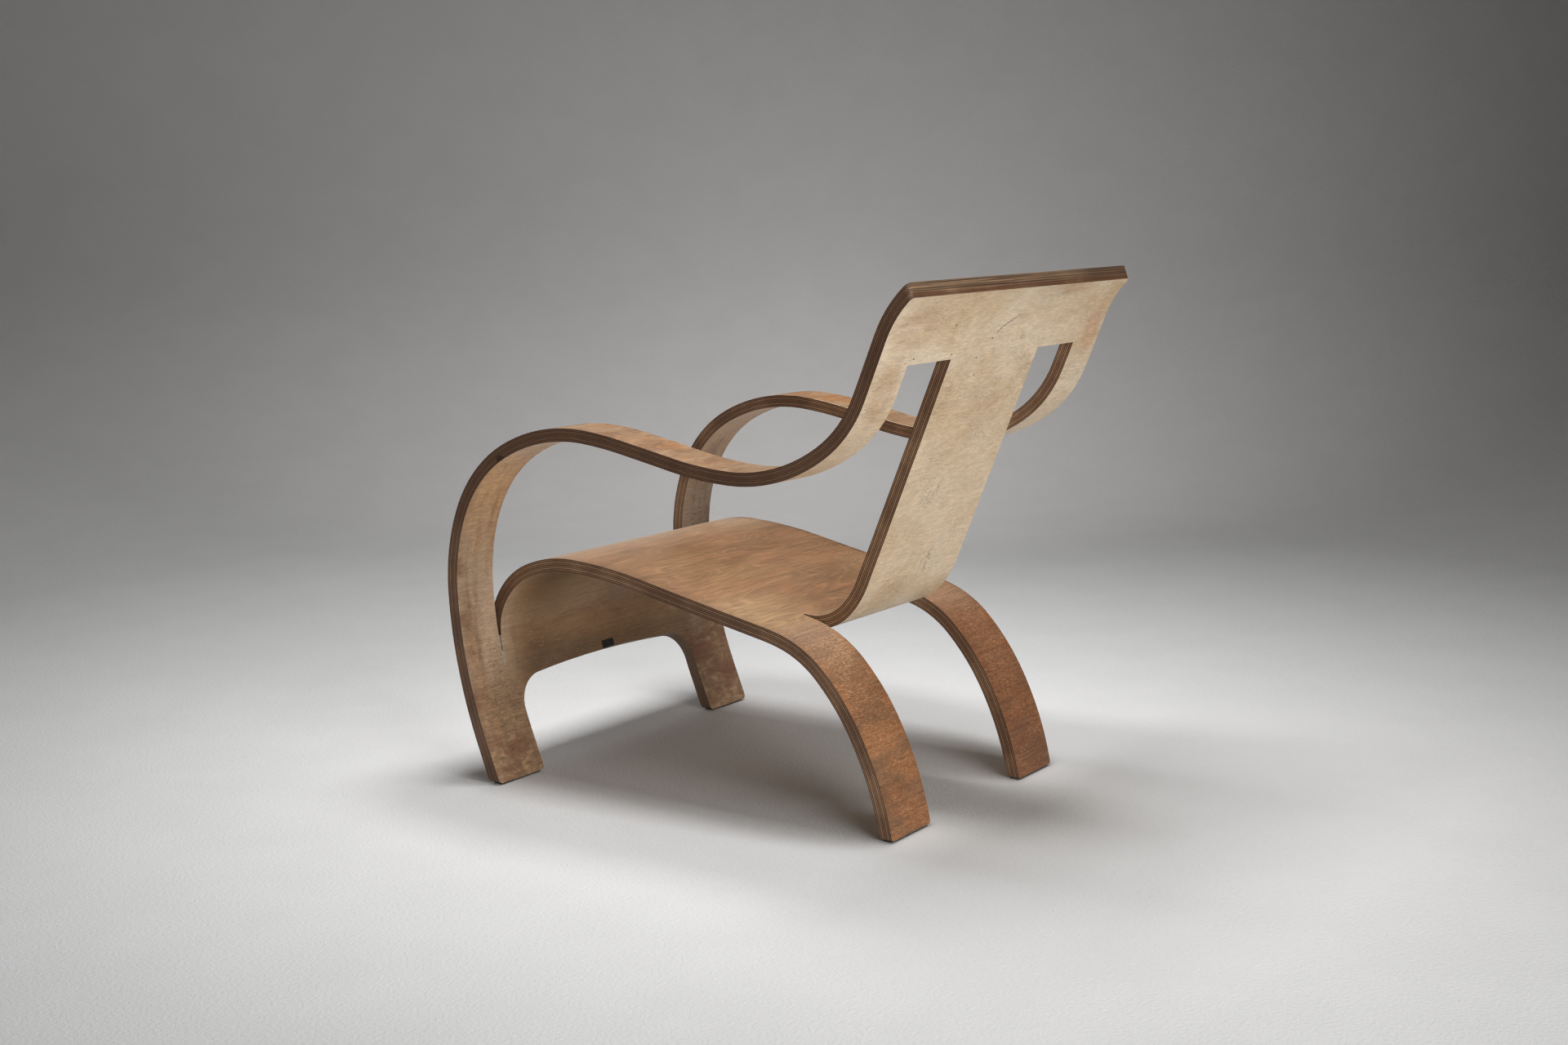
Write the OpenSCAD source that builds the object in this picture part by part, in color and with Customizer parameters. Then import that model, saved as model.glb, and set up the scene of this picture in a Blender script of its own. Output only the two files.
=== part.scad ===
// One-piece bent plywood armchair.
// A single birch sheet is slit lengthways and bent: the two outer strips become the front legs,
// arms and back edges, the middle strip becomes seat and splat, and the strips between them, cut
// out of the back, bend down as the rear legs. Every veneer of the sheet is a piece of its own.
// X runs across the chair, the front looks along -Y, Z is up and the floor is z = 0.

/* [Sheet] */
// Width of the whole sheet, which is the width of the chair
sheet_width = 605; // [520:1:700]
// Thickness of the bent sheet
sheet_thickness = 19; // [13:0.5:24]
// Width of each outer strip: front leg, arm and edge of the back
arm_width = 74.6; // [60:0.2:90]
// Width of the middle strip, which is the splat of the back
splat_width = 239.8; // [200:0.2:270]
// Gap between an arm strip and the seat, sawn and dressed
arm_slit = 5.6; // [3:0.1:9]
// Gap between a rear leg and the splat, sawn and dressed
leg_slit = 4.4; // [3:0.1:9]
// Width of the fine saw line that runs on below the slit beside the seat
saw_line_width = 1.6; // [1:0.1:2.5]
// Length of that saw line along the sheet
saw_line_length = 24; // [8:1:50]

/* [Front legs and apron] */
// Lean of the front legs at the floor, from upright
front_foot_lean = 22.5; // [17:0.1:26]
// Length of the nearly straight run of a front leg above the floor, along the sheet
front_foot_run = 65; // [30:0.5:100]
// Radius of the front leg and apron as they curve up to the slits
front_leg_radius = 696; // [500:1:900]
// Lean left at the top of that curve, where the slits begin
slit_lean = 9.5; // [6:0.1:13]
// Width of the arch between the front legs
arch_width = 411; // [340:1:450]
// Height of the arch at its crown, along the sheet from the floor
arch_height = 149.5; // [100:0.5:185]
// Radius of the two upper corners of the arch
arch_corner_radius = 50; // [25:1:80]
// Radius of the slight crown along the top of the arch
arch_crown_radius = 2100; // [1200:10:3600]
// Radius of the lower corners of the front feet
front_foot_corner_radius = 7; // [2:0.5:12]

/* [Arms] */
// Radius of the arm strip just above the slit
arm_rise_radius = 632; // [450:1:900]
// Turn of the arm strip just above the slit
arm_rise_turn = 7.4; // [4:0.1:11]
// Radius of the arm where it starts to lean back
arm_shoulder_radius = 281; // [220:1:340]
// Turn of the arm at that place
arm_shoulder_turn = 24.4; // [22:0.1:30]
// Tightest radius at the front of the arm
arm_front_radius = 195.5; // [150:0.5:240]
// Turn of the arm at its tightest place
arm_front_turn = 40.1; // [33:0.1:44]
// Radius over the top of the arm
arm_top_radius = 273; // [210:1:330]
// Turn over the top of the arm
arm_top_turn = 32.5; // [28:0.1:37]
// Radius that eases the arm into its straight run
arm_ease_radius = 612; // [450:1:900]
// Slope of the arm where it falls to the back, at the end of its nearly straight run
arm_slope = 12; // [10:0.1:15]
// Length of the nearly straight run of the arm
arm_run = 93.5; // [60:0.5:130]

/* [Back] */
// Radius that eases the arm up into the back
back_ease_radius = 572; // [450:1:800]
// Turn of that ease
back_ease_turn = 9.8; // [6:0.1:13]
// Radius of the long bend from arm to back
back_bend_radius = 250; // [200:1:300]
// Turn of that long bend
back_bend_turn = 36.3; // [32:0.1:41]
// Tightest radius of the bend, just under the nearly straight run of the back
back_corner_radius = 171; // [130:1:220]
// Rise of the back from level, where the headrest begins
back_rise = 67.2; // [62:0.1:72]
// Length of the nearly straight run of the outer strips below the headrest
back_run = 45.8; // [20:0.2:70]
// Height of the nearly straight part of the headrest above the two openings
headrest_run = 41.5; // [20:0.5:60]
// Radius at which the headrest curls backwards
headrest_radius = 162; // [120:1:240]
// Turn of the headrest's curl
headrest_turn = 27.7; // [15:0.5:36]
// How much shorter the headrest is on its rear face, where its top edge is worn to a slope
headrest_bevel = 7; // [1:0.5:12]
// Radius of the two upper corners of the headrest
headrest_corner_radius = 8; // [2:0.5:16]

/* [Seat and splat] */
// Radius of the seat's front edge at the slit
seat_nose_radius = 76.5; // [60:0.5:100]
// Turn of the seat's front edge at the slit
seat_nose_turn = 28; // [22:0.1:32]
// Radius over the front edge of the seat
seat_front_radius = 113.5; // [90:0.5:140]
// Turn over the front edge of the seat
seat_front_turn = 49; // [46:0.1:55]
// Radius that follows behind the front edge
seat_shoulder_radius = 206.5; // [170:0.5:260]
// Turn of that part
seat_shoulder_turn = 25.1; // [21:0.1:28]
// Radius that eases the seat into its long run
seat_ease_radius = 784; // [500:1:1100]
// Slope of the seat at its back, where the splat begins
seat_slope = 11.2; // [10:0.1:16]
// Turn of the seat's long run, which makes it very slightly hollow
seat_hollow_turn = 1; // [0.4:0.1:2]
// Tight radius at the foot of the splat
splat_root_radius = 81; // [65:1:100]
// Radius that eases the splat into its long run
splat_ease_radius = 130; // [100:1:180]
// Turn of that ease
splat_ease_turn = 21.2; // [15:0.1:27]

/* [Rear legs] */
// Radius of the rear leg as it leaves the seat
leg_ease_radius = 334; // [280:1:500]
// Turn of the rear leg as it leaves the seat
leg_ease_turn = 5.1; // [2:0.1:7]
// Tightest radius of the rear leg
leg_bend_radius = 162; // [130:0.5:200]
// Turn of the rear leg at its tightest place
leg_bend_turn = 28.5; // [24:0.1:33]
// Radius below that bend
leg_shin_radius = 332; // [270:1:420]
// Turn of that part
leg_shin_turn = 15.8; // [11:0.1:20]
// Radius of the lower part of the rear leg
leg_foot_radius = 454; // [360:1:600]
// Slope of the rear leg where it reaches the floor, from level
leg_foot_slope = 80; // [74:0.5:86]
// Radius of the lower corners of the rear feet
rear_foot_corner_radius = 4; // [2:0.5:12]

/* [Foot pads] */
// Thickness of the thin dark pad under each foot
pad_thickness = 3; // [1.5:0.5:6]
// Inset of each pad from the front and rear face of its foot
pad_inset = 1.5; // [0.5:0.5:4]
// Radius of the pad's corners
pad_corner_radius = 3; // [1:0.5:5]

/* [Hidden] */
$fn = 240;

// Veneers in the sheet; the faces and every second one between them have their grain across
veneers = 13;
ply = round(sheet_thickness / veneers * 1e5) / 1e5;
half_sheet = veneers * ply / 2;

// Half widths at which the sheet is slit, to a hundredth of a millimetre
function rough(v) = round(v * 100) / 100;
x_edge = rough(sheet_width / 2);
x_arm = rough(x_edge - arm_width);
x_seat = rough(x_arm - arm_slit);
x_splat = rough(splat_width / 2);
x_leg = rough(x_splat + leg_slit);

// A side profile is a chain of arcs that starts at [y, z, heading], each tangent to the one before.
// A piece is [radius, turn], with a minus radius for a turn to the right.
// bent() gives a piece of a given radius and turn, run() one of a given length and slight turn,
// and chord() one whose ends lie a given distance apart.
slight = 0.6;
function bent(radius, turn) = [radius, rough(turn)];
function run(length, turn) = [length * 180 / PI / abs(turn) * sign(turn), abs(turn)];
function chord(distance, turn) = [distance / 2 / sin(abs(turn) / 2) * sign(turn), abs(turn)];
function unit(h) = [cos(h), sin(h)];
function left(h) = [-sin(h), cos(h)];
function at(s) = [s[0], s[1]];
function centre(s, p) = at(s) + p[0] * left(s[2]);
function after(s, p) =
    let (h = rough(s[2] + sign(p[0]) * p[1]), q = centre(s, p) - p[0] * left(h)) [q[0], q[1], h];
function states(s, ps, i = 0) = i == len(ps) ? [s] : concat([s], states(after(s, ps[i]), ps, i + 1));
function end_of(s, ps) = states(s, ps)[len(ps)];
function turned(ps, i = 0) = i == len(ps) ? 0 : sign(ps[i][0]) * ps[i][1] + turned(ps, i + 1);

// Outer strip: front leg, from a little below the floor, then arm and edge of the back, then headrest
below_floor = 20;
slit_heading = rough(90 + slit_lean);
leg_pieces = [
    run(front_foot_run + below_floor / cos(front_foot_lean), -slight),
    bent(-front_leg_radius, front_foot_lean - slit_lean - slight),
];
arm_bends = [
    bent(-arm_rise_radius, arm_rise_turn),
    bent(-arm_shoulder_radius, arm_shoulder_turn),
    bent(-arm_front_radius, arm_front_turn),
    bent(-arm_top_radius, arm_top_turn),
];
arm_falls = concat(arm_bends, [
    bent(-arm_ease_radius, slit_heading + arm_slope - slight + turned(arm_bends)),
    run(arm_run, -slight),
]);
back_bends = [
    bent(back_ease_radius, back_ease_turn),
    bent(back_bend_radius, back_bend_turn),
];
arm_pieces = concat(arm_falls, back_bends, [
    bent(back_corner_radius, back_rise + arm_slope - slight - turned(back_bends)),
    run(back_run, slight),
]);
headrest_pieces = [
    run(headrest_run, -slight),
    bent(-headrest_radius, headrest_turn),
];
beyond_top = 3;
uncut_headrest_pieces = [
    headrest_pieces[0],
    bent(-headrest_radius, headrest_turn + beyond_top),
];

// The chain is first laid out from y = 0, then moved so that the chair is centred over the origin
foot_raw = [0, -below_floor, rough(90 + front_foot_lean)];
slit_raw = end_of(foot_raw, leg_pieces);
raw_states = states(slit_raw, arm_pieces);
top_raw = end_of(raw_states[len(arm_pieces)], headrest_pieces);
function front_of(s, p) =
    p[0] < 0 && s[2] > 90 && s[2] - p[1] <= 90 ? centre(s, p)[0] + p[0] - half_sheet : s[0];
front_raw = min([for (i = [0:len(arm_pieces) - 1]) front_of(raw_states[i], arm_pieces[i])]);
back_raw = top_raw[0] + half_sheet * sin(top_raw[2]) - headrest_bevel * cos(top_raw[2]);
foot = [-(front_raw + back_raw) / 2, -below_floor, foot_raw[2]];
slit = end_of(foot, leg_pieces);
opening = end_of(slit, arm_pieces);

// Seat strip, from the slits to the root of the splat, and splat, from there to the headrest.
// The lengths of their two long runs close the loop onto the headrest.
seat_bends = [
    bent(-seat_nose_radius, seat_nose_turn),
    bent(-seat_front_radius, seat_front_turn),
    bent(-seat_shoulder_radius, seat_shoulder_turn),
];
seat_falls = concat(seat_bends, [
    bent(-seat_ease_radius, slit_heading + seat_slope + seat_hollow_turn + turned(seat_bends)),
]);
splat_bends = [
    bent(splat_root_radius, back_rise + seat_slope - splat_ease_turn - slight),
    bent(splat_ease_radius, splat_ease_turn),
];
seat_end = end_of(slit, seat_falls);
splat_end = end_of([seat_end[0], seat_end[1], rough(-seat_slope)], splat_bends);
gap = at(opening) - at(splat_end);
seat_way = -seat_slope - seat_hollow_turn / 2;
splat_way = back_rise - slight / 2;
seat_run = -(gap * left(splat_way)) / sin(splat_way - seat_way);
splat_run = (gap * left(seat_way)) / sin(splat_way - seat_way);
seat_pieces = concat(seat_falls, [chord(seat_run, seat_hollow_turn)]);
splat_pieces = concat(splat_bends, [chord(splat_run, slight)]);
root = end_of(slit, seat_pieces);

// Rear leg, from the root of the splat to a little below the floor
leg_bends = [
    bent(-leg_ease_radius, leg_ease_turn),
    bent(-leg_bend_radius, leg_bend_turn),
    bent(-leg_shin_radius, leg_shin_turn),
];
leg_falls = concat(leg_bends, [bent(-leg_foot_radius, leg_foot_slope - seat_slope + turned(leg_bends))]);
leg_end = end_of(root, leg_falls);
leg_tail = max(below_floor, (leg_end[1] + below_floor) / sin(leg_foot_slope));
rear_pieces = concat(leg_falls, [chord(leg_tail, -slight)]);

// Moves its children in three steps, each ten thousand times finer than the one before,
// so that neighbouring pieces meet to well under a millionth of a millimetre
module move_to(v) {
    a = [for (c = v) round(c)];
    b = [for (i = [0:len(v) - 1]) round((v[i] - a[i]) * 1e4) / 1e4];
    translate(a)
        translate(b)
            translate(v - a - b)
                children();
}

// One arc of the sheet between the offsets d1 < d2 to the left of its middle, and x1 < x2
module arc_piece(s, p, d1, d2, x1, x2) {
    right = p[0] < 0;
    r_small = right ? d1 - p[0] : p[0] - d2;
    from = rough(right ? s[2] + 90 - p[1] : s[2] - 90);
    c = centre(s, p);
    move_to([x1, c[0], c[1]])
        rotate([90, 0, 90])
            rotate_extrude(angle = p[1], start = from)
                move_to([r_small, 0])
                    square([round((d2 - d1) * 1e5) / 1e5, rough(x2 - x1)]);
}

// A strip of the sheet: the pieces ps from s on
module strip(s, ps, d1, d2, x1, x2) {
    ss = states(s, ps);
    for (i = [0:len(ps) - 1])
        arc_piece(ss[i], ps[i], d1, d2, x1, x2);
}

module both_sides() {
    children();
    mirror([1, 0, 0])
        children();
}

// Arch between the front legs, drawn in the plane of the sheet there: straight sides and round
// corners, under the slight crown that all of it is trimmed to
module arch_outline() {
    half = arch_width / 2;
    r = arch_corner_radius;
    crown_centre = arch_height - arch_crown_radius;
    corner_x = half - r;
    crown_there = crown_centre + sqrt(pow(arch_crown_radius, 2) - pow(corner_x, 2));
    corner_y = rough(crown_there - r + 0.01);
    over = 9;
    intersection() {
        translate([0, crown_centre])
            circle(r = arch_crown_radius);
        union() {
            translate([-half, -2 * below_floor])
                square([arch_width, corner_y + 2 * below_floor]);
            translate([-corner_x, -2 * below_floor])
                square([2 * corner_x, arch_height + over + 2 * below_floor]);
            for (side = [-1, 1])
                translate([side * corner_x, corner_y])
                    circle(r = r);
        }
    }
}

// The arch is cut square to the sheet, whose mean lean there is that of its own middle
floor_y = foot[0] - below_floor * tan(front_foot_lean);
module arch_cut() {
    depth = 8 * sheet_thickness;
    translate([0, floor_y, 0])
        rotate([90 + front_foot_lean - slight, 0, 0])
            translate([0, 0, -depth / 2])
                linear_extrude(height = depth)
                    arch_outline();
}

// The fine saw line below each slit, along the sheet
module saw_line_cut() {
    p = leg_pieces[1];
    s = end_of(foot, [leg_pieces[0]]);
    turn = saw_line_length / front_leg_radius * 180 / PI;
    c = centre(s, p);
    x = (x_arm + x_seat) / 2;
    both_sides()
        translate([x - saw_line_width / 2, c[0], c[1]])
            rotate([90, 0, 90])
                rotate_extrude(angle = turn + 1, start = slit_heading + 89)
                    translate([front_leg_radius - sheet_thickness, 0])
                        square([2 * sheet_thickness, saw_line_width]);
}

// The waste outside a round corner whose sharp tip is at the origin, with the sheet at x < 0, y > 0.
// Its arc meets both edges at a slight angle, as a corner rounded off by hand does.
module corner_waste(r) {
    over = 1;
    proud = 0.05;
    difference() {
        translate([-r, -over])
            square([r + over, r + over]);
        translate([proud - r, r - proud])
            circle(r = r);
    }
}

// That waste as a cutter along y, at x and z = 0: side is 1 where the sheet lies at smaller x,
// and -1 where it lies at larger x
module corner_cut(x, side, r) {
    translate([x, 0, 0])
        mirror([1 - side, 0, 0])
            rotate([90, 0, 0])
                linear_extrude(height = 8 * sheet_thickness, center = true)
                    corner_waste(r);
}

// The headrest's top edge: a slope from its front face down to its rear face, with round corners
top = end_of(opening, headrest_pieces);
top_front = at(top) + half_sheet * left(top[2]);
top_slope = 2 * half_sheet * left(top[2]) + headrest_bevel * unit(top[2]);
module headrest_cut() {
    depth = 6 * sheet_thickness;
    translate([0, top_front[0], top_front[1]])
        rotate([atan2(top_slope[1], top_slope[0]), 0, 0]) {
            translate([-sheet_width, -depth / 2, -depth])
                cube([2 * sheet_width, depth, depth]);
            both_sides()
                corner_cut(x_edge, 1, headrest_corner_radius);
        }
}

// Everything below the tops of the pads is cut away, so that the feet stand flat on them
module floor_cut() {
    translate([-sheet_width, -3 * sheet_width, -2 * sheet_width])
        cube([2 * sheet_width, 6 * sheet_width, 2 * sheet_width + pad_thickness]);
}

// The two round lower corners of a pair of feet that stand at y
module foot_corners_cut(y, x_inner, x_outer, r) {
    translate([0, y, pad_thickness])
        both_sides() {
            corner_cut(x_outer, 1, r);
            corner_cut(x_inner, -1, r);
        }
}

// Where the middle of each leg's thickness meets a level z
function front_y(z) = foot[0] - (z + below_floor) * tan(front_foot_lean);
leg_last = states(root, leg_falls)[len(leg_falls) - 1];
leg_centre = centre(leg_last, leg_falls[len(leg_falls) - 1]);
function rear_y(z) =
    z >= leg_end[1]
        ? leg_centre[0] + sqrt(pow(leg_foot_radius, 2) - pow(z - leg_centre[1], 2))
        : leg_end[0] + (leg_end[1] - z) / tan(leg_foot_slope);

// One veneer of the whole cut and bent sheet, counted from the front and top face
module veneer(n) {
    d2 = half_sheet - (n - 1) * ply;
    d1 = d2 - ply;
    difference() {
        union() {
            strip(foot, leg_pieces, d1, d2, -x_edge, x_edge);
            both_sides()
                strip(slit, arm_pieces, d1, d2, x_arm, x_edge);
            strip(opening, uncut_headrest_pieces, d1, d2, -x_edge, x_edge);
            strip(slit, seat_pieces, d1, d2, -x_seat, x_seat);
            strip(root, splat_pieces, d1, d2, -x_splat, x_splat);
            both_sides()
                strip(root, rear_pieces, d1, d2, x_leg, x_seat);
        }
        floor_cut();
        foot_corners_cut(front_y(pad_thickness), arch_width / 2, x_edge, front_foot_corner_radius);
        foot_corners_cut(rear_y(pad_thickness), x_leg, x_seat, rear_foot_corner_radius);
        headrest_cut();
        arch_cut();
        saw_line_cut();
    }
}

// A thin pad with round corners on the floor, centred at [x, y]
module pad(x, y, width, depth) {
    r = min(pad_corner_radius, depth / 2 - 0.5);
    translate([x, y, 0])
        linear_extrude(height = pad_thickness) {
            square([width - 2 * r, depth], center = true);
            square([width, depth - 2 * r], center = true);
            for (i = [-1, 1])
                for (j = [-1, 1])
                    translate([i * (width / 2 - r), j * (depth / 2 - r)])
                        circle(r = r);
        }
}

front_pad_width = x_edge - arch_width / 2 - 2 * front_foot_corner_radius;
front_pad_depth = 2 * half_sheet / cos(front_foot_lean) - 2 * pad_inset;
rear_pad_width = x_seat - x_leg - 2 * rear_foot_corner_radius;
rear_pad_depth = 2 * half_sheet / sin(leg_foot_slope) - 2 * pad_inset;

module front_pad(side) {
    color([0.10, 0.09, 0.08])
        pad(side * (x_edge + arch_width / 2) / 2, front_y(pad_thickness), front_pad_width, front_pad_depth);
}

module rear_pad(side) {
    color([0.10, 0.09, 0.08])
        pad(side * (x_seat + x_leg) / 2, rear_y(pad_thickness), rear_pad_width, rear_pad_depth);
}

// Outer veneers in pale, mellowed birch
module outer_veneer(n) {
    color([0.74, 0.60, 0.43])
        veneer(n);
}

// Inner veneers with their grain across show dark end grain at the long edges
module cross_veneer(n) {
    color([0.33, 0.23, 0.16])
        veneer(n);
}

// Inner veneers with their grain along the sheet show lighter lines at the long edges
module long_veneer(n) {
    color([0.55, 0.42, 0.29])
        veneer(n);
}

outer_veneer(1);  // face_veneer
long_veneer(2);  // core_02
cross_veneer(3);  // core_03
long_veneer(4);  // core_04
cross_veneer(5);  // core_05
long_veneer(6);  // core_06
cross_veneer(7);  // core_07
long_veneer(8);  // core_08
cross_veneer(9);  // core_09
long_veneer(10);  // core_10
cross_veneer(11);  // core_11
long_veneer(12);  // core_12
outer_veneer(13);  // back_veneer
front_pad(-1);  // foot_pad_front_right
front_pad(1);  // foot_pad_front_left
rear_pad(-1);  // foot_pad_rear_right
rear_pad(1);  // foot_pad_rear_left
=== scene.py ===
# Bent plywood armchair, seen from behind its left side: worn birch faces over dark laminated edges.
import math

import bmesh
import bpy
from mathutils import Matrix, Vector
from mathutils.bvhtree import BVHTree


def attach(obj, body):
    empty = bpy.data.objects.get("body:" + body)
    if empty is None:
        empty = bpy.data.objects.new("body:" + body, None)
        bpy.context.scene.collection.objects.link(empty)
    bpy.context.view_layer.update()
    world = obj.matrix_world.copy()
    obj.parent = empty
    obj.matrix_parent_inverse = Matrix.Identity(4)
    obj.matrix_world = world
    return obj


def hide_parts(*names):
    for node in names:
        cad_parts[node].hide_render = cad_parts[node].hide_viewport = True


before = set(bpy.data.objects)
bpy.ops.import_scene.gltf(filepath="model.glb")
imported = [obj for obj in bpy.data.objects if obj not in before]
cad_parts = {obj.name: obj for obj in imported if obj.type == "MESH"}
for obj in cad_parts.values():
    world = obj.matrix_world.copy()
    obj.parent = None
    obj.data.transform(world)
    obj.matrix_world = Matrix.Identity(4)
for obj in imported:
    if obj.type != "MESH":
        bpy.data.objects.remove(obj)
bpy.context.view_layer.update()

# All lengths are in metres. Half widths at which the sheet is cut: its outer edge, both sides of
# the slit between arm and seat, the saw line below that slit, and the rear leg's inner edge.
X_EDGE = 0.3025
X_ARM = 0.2279
X_SEAT = 0.2223
X_SAW = 0.2251
X_LEG = 0.1243

# Inner veneers whose edges are clean, counted from the face veneer as 1; the others' are dirty
CLEAN_LAYERS = (4, 5, 9, 10)

# The rounded, worn arris along the outer veneers
ARRIS = 0.0008
ARRIS_SEGMENTS = 2

# Width of the dark glue line on each side of a long-grain veneer's edge, and the least angle of
# the corners that have one
GLUE = 0.0003
GLUE_ANGLE = math.radians(50)

# How an outer veneer's faces are told apart: a corner, taken this part of the way to the middle of
# its face, is clear of the glue when it is farther than this from the veneer underneath, and its
# face is the outer one when the cosine between normal and distance is more than this
CORNER_INSET = 0.001
CLEAR_OF_GLUE = 0.0007
OUTWARD = 0.6

# Vertices closer than WELD and faces flatter than FLAT_ANGLE become one; edges over SHARP_ANGLE
# stay sharp
WELD = 1e-6
FLAT_ANGLE = math.radians(0.05)
SHARP_ANGLE = math.radians(42)

# Depth of the bumps in each finish, and roughness where it is even
FACE_BUMP = 0.00025
EDGE_BUMP, EDGE_ROUGHNESS = 0.0002, 0.6
PAD_BUMP, PAD_ROUGHNESS = 0.0001, 0.85
PLATE_BUMP, PLATE_ROUGHNESS = 0.00005, 0.55
PAPER_BUMP, PAPER_ROUGHNESS = 0.0014, 0.75
ARRIS_ROUGHNESS = 0.55

# Where the marks on the chair's rear face are, as [x, z], and their half sizes
CRACK = ((0.018, 0.676), (0.008, 0.684), (-0.012, 0.692), (-0.027, 0.698))
CRACK_WIDTH = 0.0018
CRACK_WANDER = 0.005
DOTS = (
    (0.026, 0.669), (0.052, 0.644), (0.041, 0.619),
    (0.140, 0.694), (0.218, 0.654), (0.123, 0.653),
)
DOT_SIZE = (0.0019, 0.0011)
SCUFFS = ((0.036, 0.450), (-0.023, 0.336))
SCUFF_SIZE = (0.024, 0.021)
SCUFF_HALO = (0.045, 0.040)
STAIN = (-0.270, 0.662)
STAIN_SIZE = (0.020, 0.034)
CLOUDS = (
    ((0.235, 0.694), (0.050, 0.024)),
    ((0.262, 0.610), (0.024, 0.040)),
    ((-0.02, 0.555), (0.045, 0.030)),
    ((0.05, 0.300), (0.040, 0.026)),
    ((-0.12, 0.730), (0.070, 0.012)),
)

# A dark knot on the outer edge of the left arm, as [y, z]
KNOT = (-0.2951, 0.4905)
KNOT_SIZE = (0.0080, 0.0055)

# The small bare black plate on the rear of the apron: middle [x, z], size, number of cells each
# way, thickness, how deep its back is sunk and how round its edges are
PLATE_AT = (-0.0075, 0.1506)
PLATE_SIZE = (0.027, 0.0122)
PLATE_CELLS = (8, 4)
PLATE_THICKNESS = 0.0006
PLATE_SUNK = 0.0001
PLATE_ROUND = 0.0002
PLATE_ROUND_SEGMENTS = 2

# The stage: radius of its flat floor and of the cove round it, height of its rim, and its cells
FLOOR_RADIUS = 2.3
COVE_RADIUS = 2.4
RIM_HEIGHT = 5.5
STAGE_TURNS = 128
COVE_STEPS = 24

# Area lights: place, target, size, power in watts, spread in degrees and colour
WHITE = (1.0, 1.0, 1.0)
WARM_WHITE = (1.0, 0.965, 0.935)
LIGHTS = {
    "key": ((0.0, -0.05, 2.1), (0.0, 0.0, 0.0), (0.9, 0.9), 28.5, 140, WHITE),
    "fill": ((1.3, 2.8, 1.0), (0.0, 0.1, 0.4), (1.6, 1.2), 13.5, 80, WHITE),
    "backdrop": ((-1.37, -0.80, 1.6), (-3.38, -2.29, 0.32), (0.6, 0.6), 6.8, 110, WARM_WHITE),
    "floor": ((-1.0, -1.6, 2.1), (-1.0, -1.6, 0.0), (1.2, 1.2), 4.1, 115, WHITE),
}
AIR_COLOUR = (1.0, 0.92, 0.84, 1.0)
AIR_STRENGTH = 0.05

# Camera at the photograph's place: position, then heading, pitch and roll in radians. Focal length
# and the optical axis's place in the frame are in pixels of the 1920 x 1280 picture.
CAMERA_AT = (2.42097, 1.75010, 0.86922)
HEADING, PITCH, ROLL = -2.5577, -0.1331, -0.0090
FOCAL, WIDTH = 2475.16, 1920
AXIS_RIGHT, AXIS_DOWN = 109.3, -74.1
SENSOR_WIDTH = 36.0
CLIP_START = 0.05


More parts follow.
